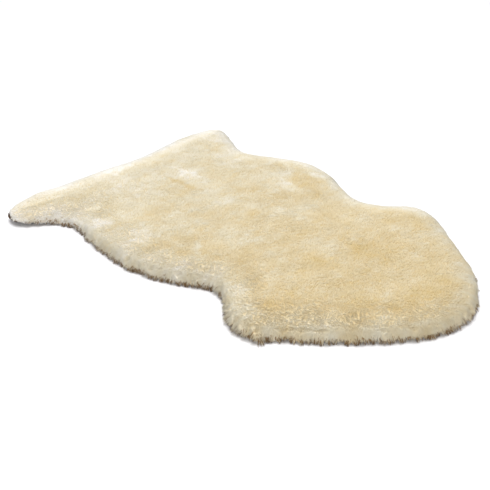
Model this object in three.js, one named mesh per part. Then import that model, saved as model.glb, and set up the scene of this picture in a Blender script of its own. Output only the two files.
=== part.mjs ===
// A sheepskin rug, laid flat with the wool up. It is one cut pelt, and so one solid: a tanned hide that
// lies on the floor, with the fleece that grows on it as a lumpy slab whose locks hang over the rim.
//
// Units are millimetres. +X runs along the back from the neck to the tail, +Y is the animal's right
// side, +Z is up, and the origin is on the floor under the middle of the rug.

import * as THREE from 'three';

const HIDE_THICKNESS = 2;
const WOOL_LENGTH = 38;
const LOCKS_PER_TIER = 148; // two tiers of locks hang over the hide's edge
const WAVE_HEIGHT = 2;
const TUFT_HEIGHT = 1.5;

// The hide's cut edge, landmark by landmark, from the neck round by the left side, the tail and the right
// side. `wool` is the share of its full length that the wool has there.
const HIDE_EDGE = [
  { at: 'neck', along: -452, across: 40, wool: 1 },
  { at: 'left of the neck', along: -463, across: -60, wool: 1 },
  { at: 'left shoulder', along: -478, across: -240, wool: 0.9 },
  { at: 'left foreleg tip', along: -484, across: -322, wool: 0.4 },
  { at: 'left foreleg', along: -452, across: -334, wool: 0.3 },
  { at: 'left foreleg back', along: -402, across: -294, wool: 0.4 },
  { at: 'left elbow', along: -334, across: -252, wool: 0.8 },
  { at: 'left ribs', along: -220, across: -267, wool: 1 },
  { at: 'left flank', along: -110, across: -275, wool: 1 },
  { at: 'left belly', along: -9, across: -251, wool: 1 },
  { at: 'left groin', along: 82, across: -209, wool: 1 },
  { at: 'left thigh', along: 147, across: -237, wool: 1 },
  { at: 'left hind leg front', along: 196, across: -273, wool: 1 },
  { at: 'left hind leg tip', along: 236, across: -269, wool: 1 },
  { at: 'left hind leg back', along: 272, across: -240, wool: 1 },
  { at: 'left rump', along: 365, across: -167, wool: 1 },
  { at: 'left of the tail', along: 458, across: -60, wool: 1 },
  { at: 'tail', along: 480, across: 30, wool: 1 },
  { at: 'right of the tail', along: 440, across: 116, wool: 1 },
  { at: 'right rump', along: 345, across: 208, wool: 1 },
  { at: 'right hind leg back', along: 262, across: 276, wool: 1 },
  { at: 'right hind leg tip', along: 226, across: 281, wool: 1 },
  { at: 'right thigh', along: 172, across: 238, wool: 1 },
  { at: 'right groin', along: 110, across: 219, wool: 1 },
  { at: 'right groin front', along: 45, across: 242, wool: 1 },
  { at: 'right belly', along: -30, across: 288, wool: 1 },
  { at: 'right flank', along: -110, across: 307, wool: 1 },
  { at: 'right ribs', along: -175, across: 287, wool: 1 },
  { at: 'right elbow', along: -283, across: 246, wool: 1 },
  { at: 'right foreleg back', along: -398, across: 298, wool: 1 },
  { at: 'right foreleg tip', along: -446, across: 321, wool: 1 },
  { at: 'right shoulder', along: -468, across: 230, wool: 1 },
  { at: 'right of the neck', along: -460, across: 130, wool: 1 },
];

// The backbone is the line along the middle that every ring of the surface closes in on.
const BACKBONE = { middle: 15, halfLength: 300 };

// The left foreleg's tip doesn't lie quite flat: it curls up off the floor.
const CURL = { along: -490, across: -335, rise: 14, reach: 150 };

// Soft troughs where the pelt was folded or its wool parts, from one end to the other.
const CREASES = [
  { name: 'along the shoulders', x1: -410, y1: 8, x2: -190, y2: 6, width: 24, depth: 3.5 },
  { name: 'across the loin', x1: 262, y1: -114, x2: 350, y2: -60, width: 20, depth: 4.0 },
  { name: 'before the left thigh', x1: 138, y1: -245, x2: 190, y2: -188, width: 22, depth: 5.5 },
  { name: 'over the left hip', x1: 185, y1: -236, x2: 268, y2: -240, width: 20, depth: 3.0 },
  { name: 'over the right ribs', x1: -135, y1: 262, x2: -40, y2: 150, width: 26, depth: 4.0 },
  { name: 'over the left ribs', x1: -45, y1: -150, x2: 8, y2: -205, width: 22, depth: 3.5 },
  { name: 'into the right elbow', x1: -300, y1: 240, x2: -262, y2: 150, width: 28, depth: 4.0 },
  { name: 'behind the left elbow', x1: -322, y1: -252, x2: -250, y2: -205, width: 26, depth: 4.0 },
];

const STATIONS = 2 * LOCKS_PER_TIER; // round the edge: a lock's tip, then the valley beside it

// The rings of the underside, from the edge inwards. `every` takes every so many stations, and `inward`
// is the share of the way from the edge to the backbone.
const UNDERSIDE_RINGS = [
  { every: 1, inward: 0 },
  { every: 2, inward: 0.12 },
  { every: 4, inward: 0.32 },
  { every: 8, inward: 0.7 },
];

// The overhanging rim, from the hide's top edge up to where the wool turns level. The tips of a tier of
// locks reach past the valleys between them by `lock`, and hang below them by `droop`.
const RIM_RINGS = [
  { name: 'hide edge', out: 0, height: HIDE_THICKNESS, lock: 0, droop: 0, tier: 0 },
  { name: 'turn under', out: 6, height: 2.5, lock: 0, droop: 0, tier: 0 },
  { name: 'lower locks', out: 12, height: 9, lock: 14, droop: 6, tier: 0 },
  { name: 'upper locks', out: 14, height: 22, lock: 12, droop: 4, tier: 1 },
  { name: 'shoulder', out: 10, height: 33, lock: 0, droop: 0, tier: 0 },
];

// The crown of the pile, from the shoulder inwards to the backbone.
const CROWN_RINGS = [
  { every: 2, inward: 0.02 },
  { every: 2, inward: 0.07 },
  { every: 2, inward: 0.13 },
  { every: 2, inward: 0.19 },
  { every: 2, inward: 0.25 },
  { every: 2, inward: 0.31 },
  { every: 2, inward: 0.37 },
  { every: 2, inward: 0.43 },
  { every: 2, inward: 0.5 },
  { every: 4, inward: 0.57 },
  { every: 4, inward: 0.64 },
  { every: 4, inward: 0.72 },
  { every: 4, inward: 0.8 },
  { every: 8, inward: 0.89 },
];
const LEVEL_FROM = 0.1; // the share of the way in at which the crown has its full height
const SHOULDER_DROP = 5; // how far the crown's outermost edge lies below that
const FULL_WOOL_FROM = 0.4; // the share of the way in at which short wool has grown to its full length

// Evenly spaced stations round the hide's edge, each with its outward direction, its backbone point and
// its share of wool.
function edgeStations() {
  const landmarks = HIDE_EDGE.map(({ along, across }) => new THREE.Vector3(along, across, 0));
  const edge = new THREE.CatmullRomCurve3(landmarks, true, 'centripetal');
  edge.arcLengthDivisions = 8 * STATIONS;

  return Array.from({ length: STATIONS }, (_, i) => {
    const t = edge.getUtoTmapping(i / STATIONS);
    const along = edge.getTangent(t);
    const backboneX = BACKBONE.middle - BACKBONE.halfLength * Math.cos((2 * Math.PI * i) / STATIONS);
    return {
      point: edge.getPoint(t),
      outward: new THREE.Vector3(along.y, -along.x, 0),
      backbone: new THREE.Vector3(backboneX, 0, 0),
      wool: woolAt(t * HIDE_EDGE.length),
    };
  });
}

// The share of wool between two landmarks.
function woolAt(position) {
  const before = Math.floor(position) % HIDE_EDGE.length;
  const after = (before + 1) % HIDE_EDGE.length;
  const share = THREE.MathUtils.smoothstep(position % 1, 0, 1);
  return THREE.MathUtils.lerp(HIDE_EDGE[before].wool, HIDE_EDGE[after].wool, share);
}

// How far the curled foreleg lifts the pelt off the floor at a place.
function lift(x, y) {
  const away = Math.hypot(x - CURL.along, y - CURL.across) / CURL.reach;
  return CURL.rise * THREE.MathUtils.smoothstep(1 - away, 0, 1);
}

// The depth of the creases at a place: a soft trough round each crease's line, fading at its ends.
function creaseDepth(x, y) {
  return CREASES.reduce((sum, { x1, y1, x2, y2, width, depth }) => {
    const run = { x: x2 - x1, y: y2 - y1 };
    const length = Math.hypot(run.x, run.y);
    const share = ((x - x1) * run.x + (y - y1) * run.y) / length ** 2;
    const side = ((x - x1) * run.y - (y - y1) * run.x) / length;
    const faded = Math.exp(-((2 * share - 1) ** 4)) * Math.exp(-((side / width) ** 2));
    return sum + depth * faded;
  }, 0);
}

// Wool never lies level: broad waves, with tufts about 80 across on them.
function lumps(x, y) {
  const wave = Math.sin(x / 61 + 0.9) * Math.cos(y / 49 - 0.6);
  const tuftX = (x + 0.6 * y) / 15 + 1.4 * Math.sin(y / 43);
  const tuftY = (y - 0.4 * x) / 14 + 1.2 * Math.sin(x / 37);
  return WAVE_HEIGHT * wave + TUFT_HEIGHT * Math.sin(tuftX) * Math.sin(tuftY);
}

// A repeatable number from -1 to 1, for the unevenness of one lock.
function uneven(i, salt) {
  const wave = Math.sin(12.9898 * i + 78.233 * salt) * 43758.5453;
  return 2 * (wave - Math.floor(wave)) - 1;
}

// A closed skin, built ring by ring from the middle of the underside out to the rim and back in on top.
class Shell {
  constructor() {
    this.points = [];
    this.faces = [];
    this.last = null;
  }

  addRing(places) {
    const first = this.points.length;
    this.points.push(...places);
    const ring = places.map((_, i) => first + i);
    if (this.last) this.addBand(this.last, ring);
    this.last = ring;
    return ring;
  }

  // Joins two rings of equal length, or where one has twice the other's points.
  addBand(from, to) {
    const few = Math.min(from.length, to.length);
    const fromStep = from.length / few;
    const toStep = to.length / few;
    for (let i = 0; i < few; i += 1) {
      const a = from.slice(i * fromStep, (i + 1) * fromStep);
      const b = to.slice(i * toStep, (i + 1) * toStep);
      a.push(from[((i + 1) * fromStep) % from.length]);
      b.push(to[((i + 1) * toStep) % to.length]);
      if (toStep === 2) {
        this.faces.push([a[0], b[1], b[0]], [a[0], a[1], b[1]], [a[1], b[2], b[1]]);
      } else {
        this.faces.push([a[0], a[1], b[0]], [a[1], b[1], b[0]]);
        if (fromStep === 2) this.faces.push([a[1], a[2], b[1]]);
      }
    }
  }

  // Closes a ring with rungs from its left side to its right, facing down or up.
  addCap(ring, facesUp) {
    for (let i = 0, j = ring.length - 1; i + 1 < j; i += 1, j -= 1) {
      const rungs = [[ring[i], ring[i + 1], ring[j]]];
      if (i + 1 < j - 1) rungs.push([ring[i + 1], ring[j - 1], ring[j]]);
      for (const [a, b, c] of rungs) this.faces.push(facesUp ? [a, b, c] : [a, c, b]);
    }
  }

  toGeometry() {
    const geometry = new THREE.BufferGeometry().setFromPoints(this.points);
    geometry.setIndex(this.faces.flat());
    geometry.computeVertexNormals();
    return geometry;
  }
}

// A ring's places: every so many stations, a share of the way in to the backbone, at a height.
function ringPlaces(stations, { every, inward }, heightAt) {
  return stations
    .filter((_, i) => i % every === 0)
    .map(({ point, backbone, wool }) => {
      const place = point.clone().lerp(backbone, inward);
      place.z = heightAt(place.x, place.y, inward, wool) + lift(place.x, place.y);
      return place;
    });
}

// A rim ring's places, with every second station a lock's tip where the ring has locks.
function rimPlaces(stations, { out, height, lock, droop, tier }) {
  return stations.map(({ point, outward, wool }, i) => {
    const isTip = lock > 0 && i % 2 === tier;
    const reach = isTip ? lock * (1 + 0.35 * uneven(i, 1)) : 0;
    const lean = isTip ? 5 * uneven(i, 2) : 0;
    const hang = isTip ? droop + 2.5 * uneven(i, 3) : 0;
    const place = point.clone().addScaledVector(outward, wool * (out + reach));
    place.x -= wool * lean * outward.y;
    place.y += wool * lean * outward.x;
    const aboveHide = wool * (height - HIDE_THICKNESS - hang);
    place.z = HIDE_THICKNESS + aboveHide + lift(place.x, place.y);
    return place;
  });
}

// The height of the wool's top. It rounds down to the rim, and is shorter near the left foreleg.
function crownHeight(x, y, inward, wool) {
  const level = THREE.MathUtils.smoothstep(inward, 0, LEVEL_FROM);
  const grown = THREE.MathUtils.smoothstep(inward, 0, FULL_WOOL_FROM);
  const relief = level * (lumps(x, y) - creaseDepth(x, y)) - (1 - level) * SHOULDER_DROP;
  return HIDE_THICKNESS + (WOOL_LENGTH + relief) * THREE.MathUtils.lerp(wool, 1, grown);
}

function sheepskin() {
  const stations = edgeStations();
  const shell = new Shell();
  const outwards = [...UNDERSIDE_RINGS].reverse();
  const underside = outwards.map((ring) => shell.addRing(ringPlaces(stations, ring, () => 0)));
  RIM_RINGS.forEach((ring) => shell.addRing(rimPlaces(stations, ring)));
  const crown = CROWN_RINGS.map((ring) => shell.addRing(ringPlaces(stations, ring, crownHeight)));
  shell.addCap(underside.at(0), false);
  shell.addCap(crown.at(-1), true);

  const wool = new THREE.MeshStandardMaterial({ color: 0xe8d9b5, roughness: 0.95, metalness: 0 });
  const mesh = new THREE.Mesh(shell.toGeometry(), wool);
  mesh.name = 'sheepskin';
  return mesh;
}

// Puts the origin under the middle of the rug.
function centred(mesh) {
  const middle = new THREE.Box3().setFromObject(mesh).getCenter(new THREE.Vector3());
  mesh.position.set(-middle.x, -middle.y, 0);
  return mesh;
}

const rug = new THREE.Group();
rug.add(centred(sheepskin()));

export default rug;
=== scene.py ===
# %% [markdown]
# # A sheepskin rug
#
# The real object is one pelt: a thin tanned hide, and the dense wool that grows on it, shorn to an even
# length. The CAD frame holds its true form as one solid. Blender gives it its looks in three layers, as
# the pelt itself has them: the hide underneath, a springy undercoat, and the fibres on top.
#
# The frame comes first. Everything is in metres, with +X along the animal's back towards the tail, +Y
# towards its right side and +Z up, and nothing from the frame is moved.

# %% The frame
import math

import bmesh
import bpy
import numpy as np
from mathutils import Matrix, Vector
from mathutils.bvhtree import BVHTree
from mathutils.kdtree import KDTree


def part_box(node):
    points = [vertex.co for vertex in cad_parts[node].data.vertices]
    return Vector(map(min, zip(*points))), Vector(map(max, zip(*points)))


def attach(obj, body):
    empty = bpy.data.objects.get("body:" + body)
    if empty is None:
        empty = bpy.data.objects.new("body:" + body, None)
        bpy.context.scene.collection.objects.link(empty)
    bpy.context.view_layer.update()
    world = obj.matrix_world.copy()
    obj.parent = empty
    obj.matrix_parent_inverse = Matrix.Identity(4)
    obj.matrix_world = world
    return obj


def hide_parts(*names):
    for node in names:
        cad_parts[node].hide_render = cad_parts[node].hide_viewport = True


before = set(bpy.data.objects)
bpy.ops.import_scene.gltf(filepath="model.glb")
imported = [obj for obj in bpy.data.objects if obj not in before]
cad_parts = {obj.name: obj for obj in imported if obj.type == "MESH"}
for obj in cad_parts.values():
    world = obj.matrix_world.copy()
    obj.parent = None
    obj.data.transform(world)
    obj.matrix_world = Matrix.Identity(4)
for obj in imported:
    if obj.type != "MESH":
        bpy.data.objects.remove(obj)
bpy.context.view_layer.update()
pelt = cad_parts["sheepskin"]
low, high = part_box("sheepskin")
print("the pelt measures", [round(side, 3) for side in high - low], "m")

# %% [markdown]
# The camera stands past the tail, on the animal's left, a metre and a half from the middle of the rug,
# and looks down on it by about a third of a right angle. It could be aimed with a Track To constraint,
# but two plain angles are easier to read. Its field of view is that of a standard lens.

# %% Camera
CAMERA_PLACE = Vector((0.8544, -1.0001, 0.779))
CAMERA_TURN = math.radians(42.05)
CAMERA_DROP = math.radians(31.6)
FIELD_OF_VIEW = math.radians(40.0)

scene = bpy.context.scene
camera = bpy.data.objects.new("camera", bpy.data.cameras.new("camera"))
scene.collection.objects.link(camera)
camera.location = CAMERA_PLACE
camera.rotation_euler = (math.pi / 2 - CAMERA_DROP, 0.0, CAMERA_TURN)
camera.data.angle = FIELD_OF_VIEW
scene.camera = camera
print("camera", [round(c, 3) for c in camera.location], "lens", round(camera.data.lens, 1), "mm")

# %% [markdown]
# Colours are written as sRGB hex values, the way a paint chart gives them, and one function turns them
# into the linear numbers that shaders work with. One more function adds a node with its settings and its
# links, so that a material reads from top to bottom like a recipe.

# %% Colours and nodes
def linear(hex_colour):
    """A hex colour such as 'E8D9B5' as linear RGBA."""
    channels = [int(hex_colour[i:i + 2], 16) / 255 for i in (0, 2, 4)]
    return [c / 12.92 if c <= 0.04045 else ((c + 0.055) / 1.055) ** 2.4 for c in channels] + [1.0]


def add(tree, kind, settings=None, inputs=None, ramp=None):
    """Adds a node with its settings, its inputs (values, or sockets to link) and a colour ramp's stops."""
    node = tree.nodes.new(kind)
    for name, value in (settings or {}).items():
        setattr(node, name, value)
    for key, value in (inputs or {}).items():
        if isinstance(value, bpy.types.NodeSocket):
            tree.links.new(value, node.inputs[key])
        else:
            node.inputs[key].default_value = value
    for i, (place, colour) in enumerate(ramp or []):
        elements = node.color_ramp.elements
        element = elements[i] if i < len(elements) else elements.new(place)
        element.position = place
        element.color = linear(colour)
    return node


def new_material(name):
    """An empty material and its node tree."""
    material = bpy.data.materials.new(name)
    material.use_nodes = True
    material.node_tree.nodes.clear()
    return material, material.node_tree


# %% [markdown]
# ## Floor and light
#
# The floor is a wide roll of matt white paper. It could sweep up into a wall, as in a studio, but the
# camera never sees its far end, so it is one flat grid face. Matt paper gives no mirror image of the wool,
# and its white burns out under the lamps, so that only the shadow right beside the pelt still shows.

# %% Floor
FLOOR_SIZE = 12.0

floor_mesh = bpy.data.meshes.new("floor")
bm = bmesh.new()
bmesh.ops.create_grid(bm, x_segments=1, y_segments=1, size=FLOOR_SIZE / 2)
bm.to_mesh(floor_mesh)
bm.free()
floor = bpy.data.objects.new("floor", floor_mesh)
scene.collection.objects.link(floor)

paper, tree = new_material("matt white studio paper")
surface = add(tree, "ShaderNodeBsdfPrincipled", inputs={
    "Base Color": linear("F2F2F4"), "Roughness": 0.9, "Specular IOR Level": 0.1})
add(tree, "ShaderNodeOutputMaterial", inputs={"Surface": surface.outputs["BSDF"]})
floor_mesh.materials.append(paper)
print("floor", [round(side, 1) for side in floor.dimensions], "m")

# %% [markdown]
# Wool wants soft light, because a small lamp turns each fibre into a bright line beside a dark one. So a
# plain white world lights everything from all round, and three wide lamps give the light a direction. The
# overhead lamp does most, and leaves the shadow under the rim. The back lamp brightens the far side a
# little, and the fill in front keeps the near side from going grey.

# %% Light
WORLD_STRENGTH = 0.62
LAMPS = [  # metres and watts
    {"name": "overhead lamp", "place": (-0.3, -0.1, 5.0), "aim": (0.0, 0.0, 0.0),
     "size": 3.0, "power": 190.0},
    {"name": "back lamp", "place": (-1.5, 1.7, 2.4), "aim": (-0.7, 0.8, 0.0),
     "size": 2.0, "power": 8.0},
    {"name": "front fill", "place": (2.2, -2.7, 1.3), "aim": (0.0, 0.0, 0.0),
     "size": 2.0, "power": 28.0},
]

world = bpy.data.worlds.new("studio")
scene.world = world
world.use_nodes = True
world.node_tree.nodes["Background"].inputs["Color"].default_value = (1.0, 1.0, 1.0, 1.0)
world.node_tree.nodes["Background"].inputs["Strength"].default_value = WORLD_STRENGTH

for setting in LAMPS:
    lamp = bpy.data.objects.new(setting["name"], bpy.data.lights.new(setting["name"], "AREA"))
    scene.collection.objects.link(lamp)
    lamp.data.size = setting["size"]
    lamp.data.energy = setting["power"]
    lamp.location = setting["place"]
    lamp.rotation_euler = (Vector(setting["aim"]) - lamp.location).to_track_quat("-Z", "Y").to_euler()
    print(lamp.name, lamp.data.energy, "W")

scene.view_settings.view_transform = "Standard"
scene.view_settings.look = "None"

# %% [markdown]
# ## The hide
#
# Under the wool lies the tanned hide, about 2 mm thick, with its suede side down and a raw cut edge. Its
# outline could be drawn anew, but the frame already has it: the flat underside of the solid. So the hide
# starts as a copy of the solid. The frame's mesh is loose triangles, and a copy has its corners merged
# first, so that each face knows its neighbours.

# %% Copies and pieces
def copy_of_pelt():
    """The frame's solid as a bmesh, with the corners of its loose triangles merged."""
    copy = bmesh.new()
    copy.from_mesh(pelt.data)
    bmesh.ops.remove_doubles(copy, verts=copy.verts, dist=1e-6)
    copy.normal_update()
    return copy


def new_piece(name, mesh):
    """A piece that rides with the pelt."""
    piece = bpy.data.objects.new(name, mesh)
    scene.collection.objects.link(piece)
    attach(piece, "root")
    return piece


# %% [markdown]
# The underside is found as water would fill it. It starts from the face nearest the middle, and from each
# face that it has reached it goes on to the neighbours that face down too. It stops at the cut edge,
# where the faces turn up, and whatever it hasn't reached is deleted. A test of the height alone would
# miss the leg that curls up off the floor.

# %% Underside
FACES_DOWN = -0.9  # the upward part of a normal, for a face of the underside

bm = copy_of_pelt()
start = min(bm.faces, key=lambda face: face.calc_center_median().length)
underside, to_search = {start}, [start]
while to_search:
    for edge in to_search.pop().edges:
        for face in edge.link_faces:
            if face not in underside and face.normal.z < FACES_DOWN:
                underside.add(face)
                to_search.append(face)
bmesh.ops.delete(bm, geom=[face for face in bm.faces if face not in underside], context="FACES")
print("the underside has", len(bm.faces), "faces")

# %% [markdown]
# The tip of the left foreleg lies pressed wide, and its wool is so short that the bare edge of the hide
# shows past it. Both could be modelled apart, but a soft pull on the points that are already there leaves
# no seam. `spread` moves a place of the leg, for the hide here and for the fleece later. The bare edge is
# pulled out for the hide alone.

# %% Left foreleg
SPREAD_AT = (-0.455, -0.315)
SPREAD_REACH = 0.09
SPREAD = (0.012, -0.016)
LEG_TIP = Vector((-0.487, -0.335))
BARE_REACH = 0.15
BARE_EDGE = 0.012  # how far the hide shows past the wool at the tip


def spread(x, y):
    """A place of the left foreleg, moved to where the leg lies pressed flat and a little wider."""
    away = ((x - SPREAD_AT[0]) ** 2 + (y - SPREAD_AT[1]) ** 2) / SPREAD_REACH ** 2
    near = np.clip(1 - away, 0, 1) ** 2
    return x + SPREAD[0] * near, y + SPREAD[1] * near


for vert in bm.verts:
    away = (vert.co.xy - LEG_TIP).length / BARE_REACH
    vert.co.xy = Vector(spread(*vert.co.xy)) + BARE_EDGE * max(0.0, 1.0 - away) * LEG_TIP.normalized()
hide_area = sum(face.calc_area() for face in bm.faces)
cut_edge = [vert.co.copy() for vert in bm.verts if vert.is_boundary]
print("the cut edge has", len(cut_edge), "points round", round(hide_area, 3), "m2")

# %% [markdown]
# The hide gets its thickness upwards, into the wool. A Solidify modifier could stay live on it, but the
# bmesh operator gives a finished closed mesh, whose size can be measured at once. Its normals are
# recalculated, because the new wall round the edge may face either way.

# %% Hide
HIDE_THICKNESS = 0.002

bmesh.ops.solidify(bm, geom=list(bm.faces), thickness=HIDE_THICKNESS)
bmesh.ops.recalc_face_normals(bm, faces=bm.faces)
hide_mesh = bpy.data.meshes.new("hide")
bm.to_mesh(hide_mesh)
bm.free()
hide = new_piece("hide", hide_mesh)
print("hide", len(hide_mesh.polygons), "faces, box", [round(side, 4) for side in hide.dimensions])

# %% [markdown]
# ## The undercoat
#
# Wool is springy because its fibres crimp and hold each other apart. Most of the fleece's depth is such a
# mass, in which no single fibre shows, so it is modelled as one soft body. It could be built anew, but
# the frame already has its form. So a copy of the solid is remeshed into even cells of a few millimetres
# and smoothed, until the coarse locks of its rim melt into a soft roll.

# %% Form of the fleece
CELL = 0.005  # fine enough to keep the creases, and coarse enough to smooth quickly
SMOOTHING = 0.5  # how far a point moves towards the middle of its neighbours each round
SMOOTHING_ROUNDS = 26


def finished_mesh(piece):
    """The piece's mesh with its modifiers applied, which are then taken off."""
    evaluated = piece.evaluated_get(bpy.context.evaluated_depsgraph_get())
    mesh = bpy.data.meshes.new_from_object(evaluated)
    piece.modifiers.clear()
    piece.data = mesh
    return mesh


bm = copy_of_pelt()
pelt_tree = BVHTree.FromBMesh(bm)
undercoat_mesh = bpy.data.meshes.new("undercoat")
bm.to_mesh(undercoat_mesh)
bm.free()
undercoat = new_piece("undercoat", undercoat_mesh)
remesh = undercoat.modifiers.new("even cells", "REMESH")
remesh.mode = "VOXEL"
remesh.voxel_size = CELL
smooth = undercoat.modifiers.new("melt the locks", "SMOOTH")
smooth.factor = SMOOTHING
smooth.iterations = SMOOTHING_ROUNDS
undercoat_mesh = finished_mesh(undercoat)
print("the fleece has", len(undercoat_mesh.vertices), "points")

# %% [markdown]
# Behind the left elbow the solid has a fold so sharp that the smoothed form still shows it as a step,
# where the real fleece only dips. More rounds over the whole form would make the rug thin and its outline
# round. So only the points of the fold's top are smoothed on, and only up and down, which keeps the rim.

# %% Soft fold
FOLD_AT = Vector((-0.345, -0.225))
FOLD_REACH = 0.075
FOLD_ROUNDS = 120
FACES_UP = 0.6  # the upward part of a normal, on top of the fleece

bm = bmesh.new()
bm.from_mesh(undercoat_mesh)
fold = [v for v in bm.verts if v.normal.z > FACES_UP and (v.co.xy - FOLD_AT).length < FOLD_REACH]
for _ in range(FOLD_ROUNDS):
    bmesh.ops.smooth_vert(bm, verts=fold, factor=SMOOTHING, use_axis_z=True)
print("the fold was smoothed at", len(fold), "points")
bm.to_mesh(undercoat_mesh)
bm.free()

# %% [markdown]
# From here on the wool is worked out with arrays, because a loop over every fibre in Python would take
# minutes. `form` holds the points of the surface where the fibres' tips end, and `facing` their normals.
# `inside` holds a place a little way in from each point, where the depth of the pelt can be measured. The
# left foreleg is spread after that, because the solid under it isn't.

# %% Surface of the fleece
LOOK_INSIDE = 0.02

form = np.empty((len(undercoat_mesh.vertices), 3))
facing = np.empty_like(form)
undercoat_mesh.vertices.foreach_get("co", form.ravel())
undercoat_mesh.vertex_normals.foreach_get("vector", facing.ravel())
inside = form - LOOK_INSIDE * facing
form[:, 0], form[:, 1] = spread(form[:, 0], form[:, 1])
print("the surface reaches from", form.min(0).round(3), "to", form.max(0).round(3))

# %% [markdown]
# The undercoat's skin lies a little below that surface, by less where the wool is short, as on the left
# foreleg. How short it is could be painted on as vertex weights, but the solid knows it: one ray from
# above and one from below measure the pelt's depth just inside each point.

# %% Depth of the pelt
FULL_DEPTH = 0.038  # in metres, where the wool has its full length
LEAST_SHARE = 0.15  # of the full length, at the tip of the leg
UP, DOWN = Vector((0, 0, 1)), Vector((0, 0, -1))


def depth_at(x, y):
    """The pelt's depth at a place, or nothing beside it."""
    top, bottom = pelt_tree.ray_cast((x, y, 1), DOWN)[0], pelt_tree.ray_cast((x, y, -1), UP)[0]
    return top.z - bottom.z if top else 0.0


pelt_depth = np.array([depth_at(x, y) for x, y, _ in inside])
wool_share = np.clip(pelt_depth / FULL_DEPTH, LEAST_SHARE, 1)
print("the pelt is", pelt_depth.min().round(4), "to", pelt_depth.max().round(4), "m deep")

# %% [markdown]
# Low on the rim the wool has nothing to lean on and hangs out in staples, so the skin lies deeper there,
# and more of each fibre shows. On the flat underside there are no fibres at all, and the skin rests
# inside the hide.

# %% Undercoat
CROWN_ROOM = 0.002  # from the undercoat's skin to the surface, in full wool
RIM_ROOM = 0.011  # the same, at the hide's cut edge
RIM_HEIGHTS = (0.006, 0.016)  # the room grows from the upper one to the lower one
UNDERSIDE_TURNS = (-0.97, -0.6)  # the upward part of a normal, from the underside to the rim
INTO_HIDE = 0.75  # how far up in the hide's thickness the undercoat's flat side lies


def smoothstep(values, start, end):
    """0 at the start, 1 at the end, and a soft curve between them."""
    share = np.clip((values - start) / (end - start), 0, 1)
    return share * share * (3 - 2 * share)


low_down = 1 - smoothstep(form[:, 2], *RIM_HEIGHTS)
room = wool_share * (CROWN_ROOM + (RIM_ROOM - CROWN_ROOM) * low_down)
above_hide = smoothstep(facing[:, 2], *UNDERSIDE_TURNS)
skin = form - (room * above_hide)[:, None] * facing
skin[:, 2] += (1 - above_hide) * INTO_HIDE * HIDE_THICKNESS
undercoat_mesh.vertices.foreach_set("co", skin.ravel())
undercoat_mesh.update()
undercoat_mesh.polygons.foreach_set("use_smooth", np.ones(len(undercoat_mesh.polygons), bool))
print("undercoat", len(undercoat_mesh.polygons), "faces, up to",
      round(1000 * room.max(), 1), "mm below the surface")

# %% [markdown]
# ## How the wool lies
#
# The wool lies along the back and turns outwards over the flanks, as on the living animal. So each point
# of the skin needs to know its way out. The nearest point of the cut edge could say it, but that jumps
# along the middle of the back. The mean of the ways to all its points, in which near ones count far more
# than distant ones, changes smoothly everywhere.

# %% Flow of the wool
NEARNESS_COUNTS = 4  # the power of the distance by which a point counts less
CLOSEST = 0.002  # no point of the edge counts as nearer than this
AT_A_TIME = 4000  # points, to keep the memory small
RIM_TO_LEVEL = (0.3, 0.9)  # the upward part of a normal, from the rim's side to the level top
EDGE_TO_LEVEL = (0.005, 0.02)  # the same change as a distance from the cut edge
TURNS_OUT = (0.01, 0.07)  # the distances from the edge between which the wool turns outwards
RIM_WIDTH = 0.05  # how far in from the cut edge the wool is painted paler, as painted light

edge_points = np.array([place[:2] for place in cut_edge])
outward = np.zeros_like(form)
from_edge = np.empty(len(form))
for start in range(0, len(form), AT_A_TIME):
    some = slice(start, start + AT_A_TIME)
    ways = edge_points[None] - form[some, None, :2]
    distance = np.maximum(np.linalg.norm(ways, axis=2), CLOSEST)
    outward[some, :2] = (ways / distance[:, :, None] ** (NEARNESS_COUNTS + 1)).sum(1)
    from_edge[some] = distance.min(1)
outward /= np.linalg.norm(outward, axis=1, keepdims=True)
at_rim = (1 - smoothstep(facing[:, 2], *RIM_TO_LEVEL) * smoothstep(from_edge, *EDGE_TO_LEVEL))[:, None]
outward = outward * (1 - at_rim) + facing * [1, 1, 0] * at_rim
turned = 1 - smoothstep(from_edge, *TURNS_OUT)
# The wool near the cut edge is painted paler, as painted light for light that passes through its thin
# edge.
rim_light_share = 1 - smoothstep(from_edge, 0.0, RIM_WIDTH)
print("the wool turns outwards over", round(100 * (turned > 0.5).mean()), "% of the skin")

# %% [markdown]
# All round the foot of the rim the outer wool is brown, partly from stain and partly as painted shade for
# the shadow under the rim, and here and there along the left side the edge curls up and shows more of
# it. That could be one brown band, but a band looks artificial. So a table names the curled stretches and
# how high the brown wool shows in each.

# %% Curled edge
FRINGE = 0.009  # how high the brown wool shows elsewhere
CURLED = [  # millimetres: middle of the stretch, half its length, how high the brown wool shows
    {"at": "left foreleg", "x": -440, "y": -325, "reach": 85, "high": 9},
    {"at": "left elbow", "x": -310, "y": -287, "reach": 50, "high": 10},
    {"at": "left ribs", "x": -150, "y": -292, "reach": 110, "high": 9},
    {"at": "left flank", "x": 75, "y": -238, "reach": 45, "high": 12},
    {"at": "left hind leg", "x": 195, "y": -280, "reach": 75, "high": 20},
    {"at": "rump", "x": 470, "y": 110, "reach": 60, "high": 9},
]
CURL_FADES = (0.6, 1.2)  # shares of the reach


def curl_at(x, y):
    """How high the brown wool shows near a place of the rim, in metres."""
    high = np.full(len(x), FRINGE)
    for curl in CURLED:
        away = np.hypot(1000 * x - curl["x"], 1000 * y - curl["y"]) / curl["reach"]
        high = np.maximum(high, 0.001 * curl["high"] * (1 - smoothstep(away, *CURL_FADES)))
    return high


curl = curl_at(form[:, 0], form[:, 1])
print("the brown wool shows", round(1000 * curl.min()), "to", round(1000 * curl.max()), "mm high")

# %% [markdown]
# Nothing in a fleece is even, but all of it changes softly from place to place. Blender's own noise can
# be read point by point, but the wool needs it for two hundred thousand fibres. A sum of a few dozen
# cosine waves in random directions is as smooth, and is worked out for all of them at once. The waves are
# stretched along the nap, as brushed wool is, and a seed makes each field the same in every run.

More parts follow.
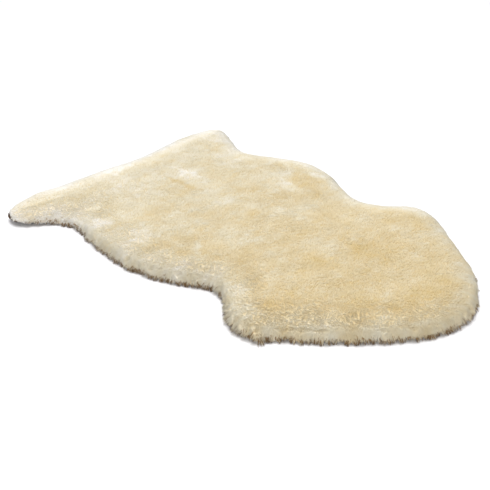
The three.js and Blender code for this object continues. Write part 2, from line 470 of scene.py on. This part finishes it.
# %% Mottling
NAP = 0.85  # the way the wool lies along the back, as an angle from +X
WAVES = 28
WAVE_SIZES = (0.7, 1.5)  # shares of the patch size


def mottle(x, y, patch, seed, stretch=1.0):
    """A smooth random field of about unit strength, with patches about this many metres across."""
    along = (x * math.cos(NAP) + y * math.sin(NAP)) / stretch
    x, y = along, y * math.cos(NAP) - x * math.sin(NAP)
    rng = np.random.default_rng(seed)
    turn, phase = rng.uniform(0, 2 * np.pi, (2, WAVES))
    pitch = 2 * patch * rng.uniform(*WAVE_SIZES, WAVES)
    across = np.outer(x, np.cos(turn) / pitch) + np.outer(y, np.sin(turn) / pitch)
    return np.cos(2 * np.pi * across + phase).sum(1) * math.sqrt(2 / WAVES)


# %% [markdown]
# Shorn wool isn't one flat colour. Where a hand has brushed it, the fibres lie over and show their pale,
# satiny sides, and elsewhere one looks down between the tips into warmer straw. That sheen and shade are
# painted into the tone here: a pale patch is painted sheen, and a dark one painted shade, as beside the
# withers, where a pale and a thin dark patch paint the lit side and the shade of a fold. Such patches
# could be painted on as an image, but here each fibre gets one tone from the place where it grows, so
# that the edge of a patch is as ragged as the wool. A table names the brushed patches, and three mottled
# fields do the rest.

# %% Tones
MIDDLE_TONE = 0.42
# The tone is painted paler towards the neck, the far side, as painted sheen of wool seen at a grazing
# angle.
PAINTED_SHEEN_TOWARDS_NECK = 0.24
HALF_LENGTH = 0.5
MOTTLE = [(0.055, 0.05, 1.0), (0.02, 0.04, 1.5), (0.006, 0.05, 2.5)]  # size in metres, strength, stretch
MOTTLE_SEED = 40
PATCH_STRENGTH = 0.38
PATCH_REACH = 1.35  # as a share of its half length and half width
PATCH_FADE = 1.5  # the power that keeps its edge soft
RAGGED, RAGGED_SIZE, RAGGED_SEED = 0.22, 0.012, 31
SHEEN_AND_SHADE_PATCHES = [  # millimetres: middle, half its length and width, turn in degrees, how pale as painted sheen (below 0, how dark as painted shade)
    {"at": "right ribs", "x": -58, "y": 168, "long": 45, "wide": 22, "turn": -10, "pale": 1.0},
    {"at": "behind the ribs", "x": -105, "y": 218, "long": 62, "wide": 24, "turn": 127, "pale": 0.6},
    {"at": "right flank", "x": -42, "y": 262, "long": 36, "wide": 14, "turn": 20, "pale": 0.9},
    {"at": "withers", "x": -290, "y": 50, "long": 72, "wide": 20, "turn": 0, "pale": 0.8},
    {"at": "left shoulder", "x": -352, "y": -85, "long": 66, "wide": 44, "turn": -20, "pale": 0.5},
    {"at": "left elbow", "x": -258, "y": -240, "long": 34, "wide": 22, "turn": 0, "pale": 0.5},
    {"at": "left flank", "x": -150, "y": -222, "long": 36, "wide": 32, "turn": 0, "pale": 0.8},
    {"at": "left belly", "x": -22, "y": -178, "long": 38, "wide": 9, "turn": -48, "pale": 0.8},
    {"at": "neck", "x": -445, "y": -48, "long": 42, "wide": 34, "turn": 90, "pale": 0.5},
    {"at": "right of the neck", "x": -468, "y": 90, "long": 70, "wide": 26, "turn": 90, "pale": 0.6},
    {"at": "back", "x": -118, "y": 8, "long": 36, "wide": 26, "turn": 90, "pale": 0.4},
    {"at": "left hind leg", "x": 150, "y": -225, "long": 26, "wide": 16, "turn": 90, "pale": 0.5},
    {"at": "right hind leg", "x": 240, "y": 262, "long": 52, "wide": 32, "turn": 0, "pale": 0.6},
    {"at": "right foreleg", "x": -398, "y": 248, "long": 26, "wide": 12, "turn": 0, "pale": 0.5},
    {"at": "right ribs, inner", "x": -40, "y": 205, "long": 80, "wide": 70, "turn": 90, "pale": -0.55},
    {"at": "under the withers", "x": -262, "y": 4, "long": 64, "wide": 9, "turn": 0, "pale": -0.7},
    {"at": "loin", "x": 238, "y": 38, "long": 56, "wide": 40, "turn": 0, "pale": -0.4},
    {"at": "left loin", "x": 222, "y": -62, "long": 60, "wide": 30, "turn": 0, "pale": -0.4},
    {"at": "left hip", "x": 222, "y": -238, "long": 50, "wide": 16, "turn": 0, "pale": -0.4},
]


def patch_share(x, y, patch):
    """How far a place lies in a brushed patch: 1 in its middle, 0 well outside, with a ragged edge."""
    turn = math.radians(patch["turn"])
    dx, dy = 1000 * x - patch["x"], 1000 * y - patch["y"]
    along = (dx * math.cos(turn) + dy * math.sin(turn)) / patch["long"]
    across = (dy * math.cos(turn) - dx * math.sin(turn)) / patch["wide"]
    ragged = RAGGED * mottle(x, y, RAGGED_SIZE, RAGGED_SEED)
    return np.clip(PATCH_REACH - np.hypot(along, across) + ragged, 0, 1) ** PATCH_FADE


def tone_at(x, y):
    """The wool's tone, with painted sheen and shade in it: 0 is warm straw, 1 nearly white."""
    tone = MIDDLE_TONE - PAINTED_SHEEN_TOWARDS_NECK * x / HALF_LENGTH
    for i, (patch, strength, stretch) in enumerate(MOTTLE):
        tone = tone + strength * mottle(x, y, patch, MOTTLE_SEED + i, stretch)
    for patch in SHEEN_AND_SHADE_PATCHES:
        tone = tone + PATCH_STRENGTH * patch["pale"] * patch_share(x, y, patch)
    return tone


skin_tone = tone_at(form[:, 0], form[:, 1])
print("the tones run from", skin_tone.min().round(2), "to", skin_tone.max().round(2))

# %% [markdown]
# ## The fibres
#
# A fleece has millions of fibres. What the eye sees is their tips, gathered in small pointed staples a
# millimetre or two across, so each modelled fibre stands for such a bundle. Blender's hair could grow
# them, but hair leaves no mesh behind. So one fibre is modelled as a thin three-sided cone and repeated.
# It is closed, with its base hidden in the undercoat. Where it has to bend, as on the rim, a cut across
# it adds a ring of points.

# %% One fibre
SIDES = 3
HALFWAY = 0.5


def unit_fibre(bends):
    """A cone of height 1 and radius 1, with a ring at each bend: its points and its triangles."""
    bm = bmesh.new()
    bmesh.ops.create_cone(bm, cap_ends=True, segments=SIDES, radius1=1, radius2=0, depth=1)
    bmesh.ops.translate(bm, verts=bm.verts, vec=(0, 0, HALFWAY))
    for height in bends:
        bmesh.ops.bisect_plane(
            bm, geom=bm.verts[:] + bm.edges[:] + bm.faces[:], plane_co=(0, 0, height), plane_no=(0, 0, 1))
    bmesh.ops.triangulate(bm, faces=bm.faces)
    bm.verts.index_update()
    points = np.array([vert.co[:] for vert in bm.verts])
    triangles = np.array([[vert.index for vert in face.verts] for face in bm.faces])
    bm.free()
    return points, triangles


CROWN_FIBRE = unit_fibre([])
RIM_FIBRE = unit_fibre([HALFWAY])
print("a fibre of the crown has", len(CROWN_FIBRE[1]), "triangles, one of the rim", len(RIM_FIBRE[1]))

# %% [markdown]
# A real fibre curves over as it grows. Three places say how: its root, a middle that it bends towards,
# and its tip. A curve object with a bevel could follow them, but not two hundred thousand times. So the
# cone's points are set along each fibre's own curve, which is the one that a Bezier handle would give.

# %% A fibre along its line
STAYS_THICK = 0.6  # how much a staple keeps of its girth before it comes to a point
OFF_THE_FLOOR = 0.0003


def unit(vectors):
    """The vectors at length 1."""
    return vectors / np.maximum(np.linalg.norm(vectors, axis=1, keepdims=True), 1e-12)


def along_lines(shape, wool, some):
    """The cone's points, set along the lines of some of the wool's fibres."""
    roots, middles, tips = wool["root"][some], wool["middle"][some], wool["tip"][some]
    share = shape[:, 2]
    way = unit(tips - roots)
    back = wool["back"][some]
    over = unit(back - (back * way).sum(1, keepdims=True) * way)
    side = np.cross(way, over)
    line = (
        roots[:, None] * ((1 - share) ** 2)[None, :, None]
        + middles[:, None] * (2 * share * (1 - share))[None, :, None]
        + tips[:, None] * (share ** 2)[None, :, None])
    thick = wool["radius"][some][:, None, None] * (1 + STAYS_THICK * share)[None, :, None]
    # The cone has a flat side towards -Y, which is turned outwards here.
    points = line + thick * (side[:, None] * shape[None, :, :1] - over[:, None] * shape[None, :, 1:2])
    points[:, :, 2] = np.maximum(points[:, :, 2], OFF_THE_FLOOR)
    return points


# %% [markdown]
# The fibres of a piece are joined into one mesh, which is filled from arrays. Copying an object for each
# would look the same, but Blender slows down long before two hundred thousand objects.

# %% A mesh of triangles
def triangle_mesh(name, points, triangles):
    """A mesh of triangles, shaded smooth."""
    mesh = bpy.data.meshes.new(name)
    mesh.vertices.add(len(points))
    mesh.vertices.foreach_set("co", points.ravel())
    mesh.loops.add(3 * len(triangles))
    mesh.loops.foreach_set("vertex_index", triangles.ravel().astype(np.int32))
    mesh.polygons.add(len(triangles))
    mesh.polygons.foreach_set("loop_start", np.arange(0, 3 * len(triangles), 3, dtype=np.int32))
    mesh.update(calc_edges=True)
    mesh.polygons.foreach_set("use_smooth", np.ones(len(triangles), bool))
    return mesh


# %% [markdown]
# Each point of the mesh knows its fibre's tone, and how much light reaches it: 0 deep down, 1 at the
# tips. The wool's material reads both. They are also laid out as a UV map, in which the tone goes across
# and the light up.
#
# Light passes through wool from fibre to fibre, which a solid cone can't show, and subsurface scattering
# is slow on so many. So each fibre's normals lean a little towards those of the fleece around it.

# %% Joined fibres
SOFTNESS = 0.3  # how far the normals lean
TONE_LIMITS = (0.01, 0.99)
UV_WIDTH = 0.004  # of a fibre, so that none of its triangles is flat on the map


def fibres_mesh(name, fibre, wool, some):
    """A joined mesh of some of the wool's fibres, with their tone, light, normals and UV map."""
    shape, triangles = fibre
    points = along_lines(shape, wool, some)
    count, share = len(points), shape[:, 2]
    faces = (triangles[None] + len(shape) * np.arange(count)[:, None, None]).reshape(-1, 3)
    mesh = triangle_mesh(name, points.reshape(-1, 3), faces)

    tone = np.repeat(np.clip(wool["tone"][some], *TONE_LIMITS), len(shape))
    # The light is painted shade: the material darkens each point's colour by it.
    root_light, tip_light = wool["root_light"][some][:, None], wool["tip_light"][some][:, None]
    light = np.clip(root_light * (1 - share) + tip_light * share, 0, 1).ravel()
    for attribute, values in (("tone", tone), ("light", light)):
        layer = mesh.attributes.new(attribute, "FLOAT", "POINT")
        layer.data.foreach_set("value", values.astype(np.float32))

    own = np.empty((len(mesh.vertices), 3))
    mesh.vertex_normals.foreach_get("vector", own.ravel())
    around = np.repeat(wool["out"][some], len(shape), axis=0)
    mesh.normals_split_custom_set_from_vertices(unit((1 - SOFTNESS) * own + SOFTNESS * around))

    bake_map = np.stack([tone + np.tile(UV_WIDTH * shape[:, 0], count), light], 1)[faces.ravel()]
    mesh.uv_layers.new(name="OFBake").uv.foreach_set("vector", bake_map.astype(np.float32).ravel())
    return mesh


# %% [markdown]
# The fibres grow in three groups, which meet without a seam because each one's share fades into the
# next: the crown on top, the roll where the top turns down to the side, and the fringe below. A vertex
# group could be painted for each, but the skin's height and the way it faces are enough to tell them.

# %% Where the wool grows
CROWN_FROM = (0.006, 0.022)  # heights between which the fringe gives way to the crown
ROLL_FROM = (0.008, 0.016)  # heights between which the roll begins
ROLL_TO_LEVEL = (0.7, 0.99)  # the upward part of a normal, from the roll to the level top
NOT_BELOW = -0.85  # the same, for the underside, where nothing grows

undercoat_mesh.calc_loop_triangles()
corners = np.empty((len(undercoat_mesh.loop_triangles), 3), np.int32)
undercoat_mesh.loop_triangles.foreach_get("vertices", corners.ravel())
sides = form[corners[:, 1:]] - form[corners[:, :1]]
areas = np.linalg.norm(np.cross(sides[:, 0], sides[:, 1]), axis=1) / 2
upward = facing[corners].mean(1)[:, 2]
height = form[corners].mean(1)[:, 2]
on_crown = smoothstep(height, *CROWN_FROM)
on_roll = (1 - smoothstep(upward, *ROLL_TO_LEVEL)) * smoothstep(height, *ROLL_FROM)
on_fringe = (1 - on_crown) * (upward > NOT_BELOW)
for name, share in (("crown", on_crown), ("roll", on_roll), ("fringe", on_fringe)):
    print("the", name, "covers", (areas * share).sum().round(3), "m2")

# %% [markdown]
# On the crown the fibres lie over the way a hand brushed them, along the nap. Towards the rim they turn
# outwards and fall. Each stands a little differently from its neighbours. Hair guides could be combed by
# hand, but a rule that follows the flow of the wool gives the same fleece in every run.

# %% How a fibre lies
NAP_TURNS = [(0.09, 0.15), (0.03, 0.1)]  # size in metres, and strength in radians
NAP_SEED = 51
STRAYS = 0.2  # radians, from one fibre to the next
LEAN = 0.5  # along the nap, to 1 straight out
LEAN_PATCH, LEAN_MOTTLE, LEAN_SEED = 0.03, 0.15, 53
LEAN_VARIES = (-0.2, 0.2)
FIBRE_SEED = 7

rng = np.random.default_rng(FIBRE_SEED)
down = np.array([[0, 0, -1.0]])


def nap_at(x, y):
    """The direction in which the wool of the back lies, as an angle from +X."""
    nap = NAP
    for i, (patch, strength) in enumerate(NAP_TURNS):
        nap = nap + strength * mottle(x, y, patch, NAP_SEED + i)
    return nap


def growing(x, y, out, away, turns_out, unruly, fall):
    """The way that each fibre grows, and its two leanings: along the nap, and down."""
    count = len(x)
    nap = nap_at(x, y)
    turn = np.remainder(np.arctan2(away[:, 1], away[:, 0]) - nap + np.pi, 2 * np.pi) - np.pi
    nap = nap + turns_out * turn + rng.normal(0, STRAYS, count)
    lying = np.stack([np.cos(nap), np.sin(nap), np.zeros(count)], 1)
    lying = lying - (lying * out).sum(1, keepdims=True) * out
    falling = down - (down * out).sum(1, keepdims=True) * out
    uneven = 1 + LEAN_MOTTLE * mottle(x, y, LEAN_PATCH, LEAN_SEED) + rng.uniform(*LEAN_VARIES, count)
    lean = (LEAN * lying + fall * falling) * uneven[:, None]
    return unit(out + lean + rng.normal(0, unruly, (count, 3))), lying, falling


nap_angles = np.degrees(nap_at(form[:, 0], form[:, 1]))
print("the nap lies", nap_angles.min().round(), "to", nap_angles.max().round(), "degrees off the back")

# %% [markdown]
# Roots are spread evenly over the area of the undercoat's skin, and the tips end at the surface that was
# measured above, or a little past it. At the foot of the rim the brown fibres splay out over the floor,
# and the cream ones end above them. How high they end goes up and down in tufts of a few millimetres,
# because wool clings together and a straight hem would look cut with scissors.

# %% Growing
PROUD = 0.0025  # how far tips stand past the measured surface
RIM_PROUD = 0.0065  # the same, low on the rim
LEAST_RISE = 0.45  # a fibre that lies flatter than this gets no longer
REACH_VARIES = (0.86, 1.1)  # shares of a fibre's reach
TUFT, TUFTED, TUFT_SEED = 0.004, 0.8, 54  # half the distance from tuft to tuft, strength, seed
TUFT_LIMITS = (0.1, 2)  # shares of the brown wool's height
STAINED_SHADED_VARIES = (0.8, 1.3)  # the same, from one fibre to the next
SKIRT = 0.3  # how far the brown wool splays, as a share of its height
ROOT_SINKS = 0.2  # how far a root lies below the skin, as a share of the room above it
STARTS_UPRIGHT = 0.5  # how much straighter a fibre is in its lower half
BACK_TURNS = 0.5  # how far the back of a fibre turns away from the way it lies
RIM_PAINTED_LIGHT = 0.25  # added to the tone at the cut edge, as painted light for light passing through the thin wool there
TONE_STRAYS = 0.03  # from one fibre to the next


def grown(count, where, unruly, fall):
    """Fibres spread over part of the skin, each with its root, the way out there, its tip and its tone."""
    chosen = rng.choice(len(corners), count, p=areas * where / (areas * where).sum())
    at, share = corners[chosen], rng.dirichlet((1, 1, 1), count)

    def there(values):
        return (values[at] * (share[:, :, None] if values.ndim == 2 else share)).sum(1)

    root, out, depth, away = there(skin), unit(there(facing)), there(room), there(outward)
    x, y = root[:, 0], root[:, 1]
    way, lying, falling = growing(x, y, out, away, there(turned), unruly, fall)
    proud = PROUD + (RIM_PROUD - PROUD) * there(low_down)
    rise = np.maximum((way * out).sum(1), LEAST_RISE)
    reach = (depth + proud) / rise * rng.uniform(*REACH_VARIES, count)
    tip = root + reach[:, None] * way
    ends_at = there(curl) * np.clip(1 + TUFTED * mottle(x, y, TUFT, TUFT_SEED), *TUFT_LIMITS)
    # Fibres rooted below the brown height are brown: partly stain, partly painted shade for the shadow at
    # the rim's foot.
    stained_shaded = root[:, 2] < ends_at * rng.uniform(*STAINED_SHADED_VARIES, count)
    tip[:, 2] = np.maximum(tip[:, 2], ends_at * (1 - stained_shaded))
    tip[:, :2] += (SKIRT * ends_at * stained_shaded)[:, None] * away[:, :2]
    return {
        "root": root - ROOT_SINKS * depth[:, None] * out,
        "middle": root + HALFWAY * reach[:, None] * unit(way + STARTS_UPRIGHT * out),
        "tip": tip,
        "stained_shaded": stained_shaded,
        "out": out,
        "back": unit(out - BACK_TURNS * lying - BACK_TURNS * falling),
        "tone": tone_at(x, y) + RIM_PAINTED_LIGHT * there(rim_light_share) + rng.normal(0, TONE_STRAYS, count)}


# %% [markdown]
# The crown is what one sees of the rug from above: dense wool about 38 mm long, shorn level. It has by
# far the most fibres, so it is made as three pieces along the back, which keeps each one light enough to
# handle. Light reaches nearly down to its roots, so that the gaps between the tips stay pale.

# %% Crown
CROWN_FIBRES = 137_000
TOP_RADIUS = 0.0011  # several times too thick for wool, but as fine as still covers the skin
TOP_RADIUS_VARIES = (0.8, 1.25)
TOP_ROOT_LIGHT = 0.92
CROWN_NAMES = ["wool_of_the_shoulders", "wool_of_the_back", "wool_of_the_rump"]

wool_pieces = []


def on_top(wool):
    """Adds the thickness and the light of wool that the lamps reach from above."""
    count = len(wool["root"])
    wool["radius"] = TOP_RADIUS * rng.uniform(*TOP_RADIUS_VARIES, count)
    wool["root_light"] = np.full(count, TOP_ROOT_LIGHT)
    wool["tip_light"] = np.ones(count)
    return wool


def add_wool(name, fibre, wool, some):
    """Makes a piece of some of the wool's fibres."""
    wool_pieces.append(new_piece(name, fibres_mesh(name, fibre, wool, some)))
    print(name, len(wool_pieces[-1].data.polygons), "triangles")


crown = on_top(grown(CROWN_FIBRES, on_crown, unruly=0.08, fall=0.5))
x = crown["root"][:, 0]
thirds = np.searchsorted(np.quantile(x, [1 / 3, 2 / 3]), x)
for i, name in enumerate(CROWN_NAMES):
    add_wool(name, CROWN_FIBRE, crown, thirds == i)

# %% [markdown]
# Where the top turns down to the side, the crown's fibres would stand apart like the bristles of a bent
# brush, and one would see between them. Real wool falls over there and covers itself. So a second growth
# of fibres is laid over that turn alone, and it falls nearly twice as much.

# %% Roll
ROLL_FIBRES = 49_000

roll = on_top(grown(ROLL_FIBRES, on_roll, unruly=0.1, fall=0.9))
add_wool("wool_of_the_roll", CROWN_FIBRE, roll, slice(None))

# %% [markdown]
# The fringe hangs round the rug's foot. Wool clings together, so low down each tip is drawn part of the
# way towards that of the nearest leading fibre, which makes pointed staples with dark gaps between them.
# Blender's hair has a Clump setting for this. For a mesh a KD-tree finds the nearest leader as quickly.

# %% Rim
RIM_FIBRES = 14_500
RIM_RADIUS = 0.0008
RIM_RADIUS_VARIES = (0.7, 1.3)
RIM_LEADERS = 1_000
CLINGS_FROM = (0.004, 0.026)  # heights of the tips, from the tightest to the loosest
LOOSEST, TIGHTENS = 0.2, 0.7
CLING_VARIES = (0.6, 1.1)
# The brown fibres at the foot of the rim, which are stain and painted shade together.
STAINED_SHADED_CLINGS, STAINED_SHADED_THICKER, STAINED_SHADED_TIP_LIGHT = 0.3, 1.8, 0.15
RIM_ROOT_LIGHT = 0.7
LIT_FROM = (0.005, 0.018)  # heights between which light begins to reach the roots


def gather(wool, leaders, cling):
    """Draws the tips towards the nearest of the leading fibres' tips."""
    tips = wool["tip"]
    tree = KDTree(leaders)
    for i in range(leaders):
        tree.insert(tips[i], i)
    tree.balance()
    nearest = np.array([tree.find(tip)[1] for tip in tips])
    wool["tip"] = tips + cling[:, None] * (tips[nearest] - tips)


rim = grown(RIM_FIBRES, on_fringe, unruly=0.08, fall=0.5)
stained_shaded = rim["stained_shaded"]
tips_low = 1 - smoothstep(rim["tip"][:, 2], *CLINGS_FROM)
cling = (LOOSEST + TIGHTENS * tips_low) * rng.uniform(*CLING_VARIES, RIM_FIBRES)
gather(rim, RIM_LEADERS, np.where(stained_shaded, STAINED_SHADED_CLINGS, 1.0) * cling)
thickness = RIM_RADIUS * rng.uniform(*RIM_RADIUS_VARIES, RIM_FIBRES)
rim["radius"] = thickness * np.where(stained_shaded, STAINED_SHADED_THICKER, 1.0)
# Roots low on the rim are painted darker, as painted shade in the gaps between the staples.
rim["root_light"] = RIM_ROOT_LIGHT * smoothstep(rim["root"][:, 2], *LIT_FROM)
# The brown fibres' tips are painted dark: partly stain, partly painted shade.
rim["tip_light"] = np.where(stained_shaded, STAINED_SHADED_TIP_LIGHT, 1.0)
y = rim["root"][:, 1]
for name, mine in (("wool_of_the_left_rim", y < 0), ("wool_of_the_right_rim", y >= 0)):
    add_wool(name, RIM_FIBRE, rim, mine)

# %% [markdown]
# ## The finishes
#
# Sheep's wool, washed and shorn, is a protein fibre with fine scales. That makes it matt, with a soft
# sheen at a grazing angle and no sharp highlight. Its colour could come from a noise texture, but each
# fibre already has its tone, and one ramp turns that into a colour from straw to nearly white. A second
# ramp darkens it as painted shade, by the light that gets down to it: brown at the foot and white at the
# tips, which leaves the tone as it is. At the foot of the rim that brown is stain and painted shade
# together.

# %% Wool finish
WOOL_TONES = [(0.0, "DBC898"), (0.35, "E1D4B3"), (0.6, "E6DFC9"), (0.8, "ECE7D8"), (1.0, "F4F2EC")]
# Painted shade by that light: brown deep down, white at the tips.
DEPTH_SHADES = [(0.0, "6B4E36"), (0.35, "B79B78"), (0.7, "EEDDC8"), (1.0, "FFFFFF")]

wool_finish, tree = new_material("shorn cream sheep's wool")
tone_in = add(tree, "ShaderNodeAttribute", {"attribute_name": "tone"})
light_in = add(tree, "ShaderNodeAttribute", {"attribute_name": "light"})
tone_ramp = add(tree, "ShaderNodeValToRGB", inputs={"Fac": tone_in.outputs["Fac"]}, ramp=WOOL_TONES)
depth_ramp = add(tree, "ShaderNodeValToRGB", inputs={"Fac": light_in.outputs["Fac"]}, ramp=DEPTH_SHADES)
colour = add(tree, "ShaderNodeMix", {"data_type": "RGBA", "blend_type": "MULTIPLY"}, inputs={
    0: 1.0, 6: tone_ramp.outputs["Color"], 7: depth_ramp.outputs["Color"]})
# Matt fibres have a roughness near 0.8, and wool an IOR near the default of 1.5. The sheen is light that
# the scales and the loose ends catch.
surface = add(tree, "ShaderNodeBsdfPrincipled", inputs={
    "Base Color": colour.outputs[2], "Roughness": 0.8, "Specular IOR Level": 0.3,
    "Sheen Weight": 0.25, "Sheen Roughness": 0.4})
add(tree, "ShaderNodeOutputMaterial", inputs={"Surface": surface.outputs["BSDF"]})
for piece in wool_pieces:
    piece.data.materials.append(wool_finish)
print(wool_finish.name, "on", len(wool_pieces), "pieces")

# %% [markdown]
# The undercoat shows only in the gaps between the fibres, as the same wool painted a little darker, as
# painted shade for the gaps. So it takes the fibres' tones, as an attribute on its points, with the
# rim's painted light. Its crimp could be modelled, but a noise texture is enough for what shows: it
# shifts the tone by a little, in curls of five or six millimetres, which is several times as coarse as
# real crimp, because finer ones wouldn't show. Low down it is painted as brown as the fringe, by its
# height above the floor, as painted shade for the foot of the rim.

# %% Undercoat finish
# Painted shade by the height above the floor.
UNDERCOAT_PAINTED_SHADES = [
    (0.0, "4A3424"), (0.3, "8A6C4C"), (0.55, "D0C0A4"), (0.8, "E6DCCA"), (1.0, "E6DDCB")]
BROWN_HEIGHTS = (0.003, 0.018)  # from the first shade to the last
CRIMP = 50 / 9  # millimetres: nine curls in 50
CRIMP_SHADE = 0.1

values = np.clip(skin_tone + RIM_PAINTED_LIGHT * rim_light_share, *TONE_LIMITS)
layer = undercoat_mesh.attributes.new("tone", "FLOAT", "POINT")
layer.data.foreach_set("value", values.astype(np.float32))

undercoat_finish, tree = new_material("dense crimped undercoat")
where = add(tree, "ShaderNodeTexCoord")
place = add(tree, "ShaderNodeSeparateXYZ", inputs={"Vector": where.outputs["Object"]})
fuzz = add(tree, "ShaderNodeTexNoise", inputs={
    "Vector": where.outputs["Object"], "Scale": 1000 / CRIMP, "Detail": 4.0, "Roughness": 0.6})
tone_in = add(tree, "ShaderNodeAttribute", {"attribute_name": "tone"})
uneven = add(tree, "ShaderNodeMath", {"operation": "MULTIPLY_ADD"}, inputs={
    0: fuzz.outputs["Fac"], 1: CRIMP_SHADE, 2: tone_in.outputs["Fac"]})
tone_ramp = add(tree, "ShaderNodeValToRGB", inputs={"Fac": uneven.outputs["Value"]}, ramp=WOOL_TONES)
rise = add(tree, "ShaderNodeMapRange", inputs={
    "Value": place.outputs["Z"], "From Min": BROWN_HEIGHTS[0], "From Max": BROWN_HEIGHTS[1]})
depth_ramp = add(tree, "ShaderNodeValToRGB", inputs={"Fac": rise.outputs["Result"]}, ramp=UNDERCOAT_PAINTED_SHADES)
colour = add(tree, "ShaderNodeMix", {"data_type": "RGBA", "blend_type": "MULTIPLY"}, inputs={
    0: 1.0, 6: tone_ramp.outputs["Color"], 7: depth_ramp.outputs["Color"]})
# A mass of crimped fibre scatters light even more than the tips do, so it is rougher and has no sheen.
surface = add(tree, "ShaderNodeBsdfPrincipled", inputs={
    "Base Color": colour.outputs[2], "Roughness": 0.9, "Specular IOR Level": 0.2})
add(tree, "ShaderNodeOutputMaterial", inputs={"Surface": surface.outputs["BSDF"]})
undercoat_mesh.materials.append(undercoat_finish)
print(undercoat_finish.name, "with curls of", round(CRIMP, 1), "mm")

# %% [markdown]
# The hide is sheepskin, tanned and buffed to suede on its flesh side. Buffing raises a short nap, which
# gives the eye a matt brown with soft clouds a centimetre across, where the nap lies one way or the
# other. The nap itself is far too fine to show. The clouds could be a painted image, but a noise texture
# needs no UV map and has no seam. Above its lowest millimetre, the cut edge included, the hide is painted
# dark brown as painted shade, because there it lies in the shadow of the wool.

# %% Hide finish
SUEDE_LIGHT, SUEDE_DARK, EDGE_PAINTED_SHADE = "B98B5E", "8C6440", "4A3424"
NAP_CLOUD = 100 / 9  # millimetres: nine clouds in 100
EDGE_HEIGHTS = (0.0001, 0.0008)  # from the suede's colour to the edge's painted shade

hide_finish, tree = new_material("tanned suede hide")
where = add(tree, "ShaderNodeTexCoord")
grain = add(tree, "ShaderNodeTexNoise", inputs={
    "Vector": where.outputs["Object"], "Scale": 1000 / NAP_CLOUD, "Detail": 6.0, "Roughness": 0.65})
place = add(tree, "ShaderNodeSeparateXYZ", inputs={"Vector": where.outputs["Object"]})
cut = add(tree, "ShaderNodeMapRange", inputs={
    "Value": place.outputs["Z"], "From Min": EDGE_HEIGHTS[0], "From Max": EDGE_HEIGHTS[1]})
suede = add(tree, "ShaderNodeValToRGB", inputs={"Fac": grain.outputs["Fac"]}, ramp=[
    (0.3, SUEDE_DARK), (0.7, SUEDE_LIGHT)])
colour = add(tree, "ShaderNodeMix", {"data_type": "RGBA"}, inputs={
    0: cut.outputs["Result"], 6: suede.outputs["Color"], 7: linear(EDGE_PAINTED_SHADE)})
# Suede is as matt as wool, and far rougher than the smooth side of a leather.
surface = add(tree, "ShaderNodeBsdfPrincipled", inputs={
    "Base Color": colour.outputs[2], "Roughness": 0.85, "Specular IOR Level": 0.3})
add(tree, "ShaderNodeOutputMaterial", inputs={"Surface": surface.outputs["BSDF"]})
hide_mesh.materials.append(hide_finish)
print(hide_finish.name, "with clouds of", round(NAP_CLOUD, 1), "mm")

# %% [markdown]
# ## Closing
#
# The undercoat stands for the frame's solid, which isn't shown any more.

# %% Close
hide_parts("sheepskin")
